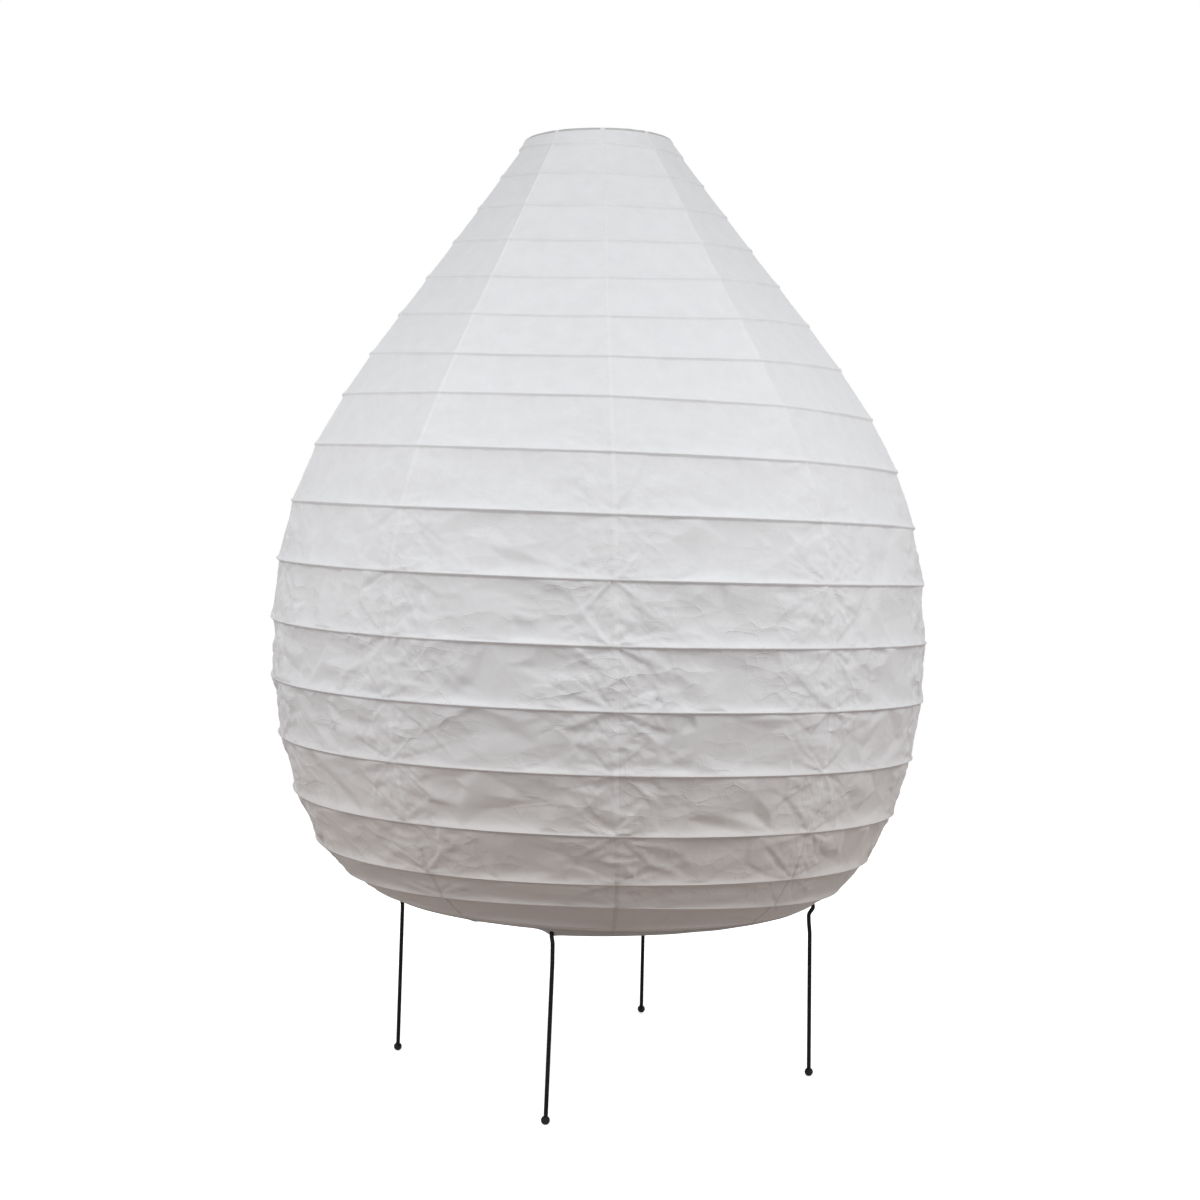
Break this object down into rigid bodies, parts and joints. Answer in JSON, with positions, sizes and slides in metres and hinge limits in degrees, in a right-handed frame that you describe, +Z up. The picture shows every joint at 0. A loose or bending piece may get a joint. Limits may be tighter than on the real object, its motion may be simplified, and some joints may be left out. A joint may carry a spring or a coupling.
{
  "type": "floor lamp",
  "caption": "Free-standing floor lamp: a tall teardrop paper lantern with one spiral rib, standing on a black wire frame with ball feet, lit by a screw-base bulb inside.",
  "frame": {"origin": "on the floor, at the centre of the lamp's box, on the shade's axis", "axes": "+Z up along the shade's axis, -Y to the front of the pictured lamp, +X to its right"},
  "size_m": [0.7881, 0.7885, 1.12],
  "materials": {
    "paper": "matte",
    "black_wire": "satin",
    "black_foot": "satin",
    "bamboo": "matte",
    "ring_wire": "satin",
    "zinc_steel": "satin",
    "brass": "satin",
    "black_plastic": "satin",
    "holder_ceramic": "matte",
    "bulb_opal": "satin",
    "bulb_white": "satin",
    "nickel_cap": "polished",
    "bulb_black": "gloss"
  },
  "bodies": {
    "frame": {"paper_panel_01": "paper", "paper_panel_02": "paper", "paper_panel_03": "paper", "paper_panel_04": "paper", "paper_panel_05": "paper", "paper_panel_06": "paper", "paper_panel_07": "paper", "paper_panel_08": "paper", "paper_panel_09": "paper", "paper_panel_10": "paper", "leg_wire_01": "black_wire", "leg_wire_02": "black_wire", "leg_wire_03": "black_wire", "leg_wire_04": "black_wire", "ball_foot_01": "black_foot", "ball_foot_02": "black_foot", "ball_foot_03": "black_foot", "ball_foot_04": "black_foot", "bamboo_rib": "bamboo", "top_ring": "ring_wire", "top_bar": "ring_wire", "hub": "black_wire", "leg_grub_screws": "zinc_steel", "harp": "black_wire", "harp_grub_screws": "zinc_steel", "harp_nut": "brass", "stem": "zinc_steel", "stem_nuts": "zinc_steel", "cord_bush": "black_plastic", "holder_cap": "black_plastic", "holder_shell": "black_plastic", "holder_insert": "holder_ceramic", "screw_sleeve": "brass", "centre_contact": "brass"},
    "bottom_ring": {"bottom_ring": "ring_wire"},
    "bulb": {"bulb_globe": "bulb_opal", "bulb_housing": "bulb_white", "bulb_board": "bulb_white", "bulb_screw_cap": "nickel_cap", "bulb_insulator": "bulb_black", "bulb_tip": "nickel_cap"}
  },
  "joints": [
    {"name": "shade_fold", "type": "slide", "parent": "frame", "child": "bottom_ring", "axis": [0, 0, 1], "range_m": [0, 0.8], "deforming": ["paper_panel_01", "paper_panel_02", "paper_panel_03", "paper_panel_04", "paper_panel_05", "paper_panel_06", "paper_panel_07", "paper_panel_08", "paper_panel_09", "paper_panel_10", "bamboo_rib"]},
    {"name": "bulb_draw", "type": "slide", "parent": "frame", "child": "bulb", "axis": [0, 0, 1], "range_m": [0, 0.03]}
  ]
}
